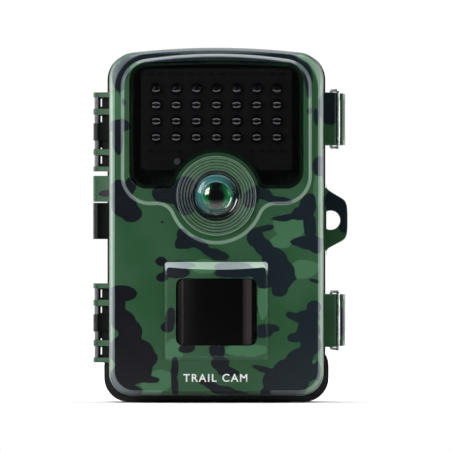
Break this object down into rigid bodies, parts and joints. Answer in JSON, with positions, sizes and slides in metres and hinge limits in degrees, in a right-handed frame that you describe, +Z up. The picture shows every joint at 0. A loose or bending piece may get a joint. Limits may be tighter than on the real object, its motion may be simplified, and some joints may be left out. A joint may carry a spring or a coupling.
{
  "type": "trail camera",
  "caption": "Weatherproof wildlife camera that opens like a book: lamp window, lens and motion sensor in front, battery half behind, draw latches and a padlock lug.",
  "frame": {"origin": "centre of the foot's underside, below the lens and on the plane where the halves meet", "axes": "+Z up; +Y out of the back, towards the tree; the lens looks along -Y; +X is the latch side"},
  "size_m": [0.1009, 0.0726, 0.14],
  "materials": {
    "camo": "satin moulded",
    "black": "satin moulded",
    "rubber": "matt",
    "window": "polished",
    "fresnel": "satin",
    "glass": "polished",
    "coated": "coated",
    "board": "solder mask",
    "lamp": "moulded",
    "steel": "bright",
    "brass": "turned",
    "screen": "dark",
    "key": "matt",
    "card": "moulded",
    "cell": "printed jacket",
    "lead": "insulated wire"
  },
  "bodies": {
    "rear_half": {"rear_case": "camo", "rear_frame": "black", "seal_gasket": "rubber", "battery_tray": "black", "tripod_nut": "brass", "hinge_pin_upper": "steel", "hinge_pin_lower": "steel", "latch_pin_upper": "steel", "latch_pin_lower": "steel", "battery_lead_rear": "lead", "battery_contacts_1": "steel", "battery_contacts_2": "steel", "battery_contacts_3": "steel", "battery_contacts_4": "steel", "battery_cell_1": "cell", "battery_cell_2": "cell", "battery_cell_3": "cell", "battery_cell_4": "cell", "battery_cell_5": "cell", "battery_cell_6": "cell", "battery_cell_7": "cell", "battery_cell_8": "cell"},
    "front_half": {"front_case": "camo", "ir_window": "window", "ir_led_board": "lamp", "light_sensor": "lamp", "lens_bezel": "camo", "lens_window": "glass", "lens_barrel": "black", "front_element": "coated", "lens_holder": "black", "pir_lens": "fresnel", "pir_sensor": "steel", "main_board": "board", "lcd_panel": "screen", "lcd_window": "glass", "inner_cover": "black", "cover_screw_1": "steel", "cover_screw_2": "steel", "cover_screw_3": "steel", "cover_screw_4": "steel", "card_socket": "steel", "usb_socket": "steel", "microphone": "steel", "speaker": "black", "battery_lead_front": "lead"},
    "button_ok_body": {"button_ok": "key"},
    "button_up_body": {"button_up": "key"},
    "button_down_body": {"button_down": "key"},
    "button_left_body": {"button_left": "key"},
    "button_right_body": {"button_right": "key"},
    "button_menu_body": {"button_menu": "key"},
    "mode_switch_body": {"mode_switch": "key"},
    "sd_card_body": {"sd_card": "card"},
    "ir_cut_filter_body": {"ir_cut_filter": "coated"},
    "latch_lever_upper_body": {"latch_lever_upper": "camo"},
    "latch_bail_upper_body": {"latch_bail_upper": "steel"},
    "latch_lever_lower_body": {"latch_lever_lower": "camo"},
    "latch_bail_lower_body": {"latch_bail_lower": "steel"}
  },
  "joints": [
    {"name": "case_hinge", "type": "hinge", "parent": "rear_half", "child": "front_half", "pos_m": [-0.047, 0, 0.0705], "axis": [0, 0, -1], "range_deg": [0, 150]},
    {"name": "latch_lever_upper_pivot", "type": "hinge", "parent": "rear_half", "child": "latch_lever_upper_body", "pos_m": [0.047, 0.009, 0.112], "axis": [0, 0, -1], "range_deg": [0, 100]},
    {"name": "latch_bail_upper_pivot", "type": "hinge", "parent": "latch_lever_upper_body", "child": "latch_bail_upper_body", "pos_m": [0.0456, 0.015, 0.112], "axis": [0, 0, -1], "range_deg": [-112, 0], "deforming": ["latch_bail_upper"]},
    {"name": "latch_lever_lower_pivot", "type": "hinge", "parent": "rear_half", "child": "latch_lever_lower_body", "pos_m": [0.047, 0.009, 0.0322], "axis": [0, 0, -1], "range_deg": [0, 100]},
    {"name": "latch_bail_lower_pivot", "type": "hinge", "parent": "latch_lever_lower_body", "child": "latch_bail_lower_body", "pos_m": [0.0456, 0.015, 0.0322], "axis": [0, 0, -1], "range_deg": [-112, 0], "deforming": ["latch_bail_lower"]},
    {"name": "button_ok_press", "type": "slide", "parent": "front_half", "child": "button_ok_body", "axis": [0, -1, 0], "range_m": [0, 0.0007], "stiffness_N_per_m": 400, "springref_m": -0.0005},
    {"name": "button_up_press", "type": "slide", "parent": "front_half", "child": "button_up_body", "axis": [0, -1, 0], "range_m": [0, 0.0007], "stiffness_N_per_m": 400, "springref_m": -0.0005},
    {"name": "button_down_press", "type": "slide", "parent": "front_half", "child": "button_down_body", "axis": [0, -1, 0], "range_m": [0, 0.0007], "stiffness_N_per_m": 400, "springref_m": -0.0005},
    {"name": "button_left_press", "type": "slide", "parent": "front_half", "child": "button_left_body", "axis": [0, -1, 0], "range_m": [0, 0.0007], "stiffness_N_per_m": 400, "springref_m": -0.0005},
    {"name": "button_right_press", "type": "slide", "parent": "front_half", "child": "button_right_body", "axis": [0, -1, 0], "range_m": [0, 0.0007], "stiffness_N_per_m": 400, "springref_m": -0.0005},
    {"name": "button_menu_press", "type": "slide", "parent": "front_half", "child": "button_menu_body", "axis": [0, -1, 0], "range_m": [0, 0.0007], "stiffness_N_per_m": 400, "springref_m": -0.0005},
    {"name": "mode_switch_slide", "type": "slide", "parent": "front_half", "child": "mode_switch_body", "axis": [0, 0, 1], "range_m": [0, 0.005]},
    {"name": "sd_card_slide", "type": "slide", "parent": "front_half", "child": "sd_card_body", "axis": [0, 0, -1], "range_m": [0, 0.014]},
    {"name": "ir_cut_filter_slide", "type": "slide", "parent": "front_half", "child": "ir_cut_filter_body", "axis": [1, 0, 0], "range_m": [0, 0.0084]}
  ],
  "couplings": [
    {"joint": "latch_bail_upper_pivot", "follows": "latch_lever_upper_pivot", "ratio": -1.1},
    {"joint": "latch_bail_lower_pivot", "follows": "latch_lever_lower_pivot", "ratio": -1.1}
  ]
}
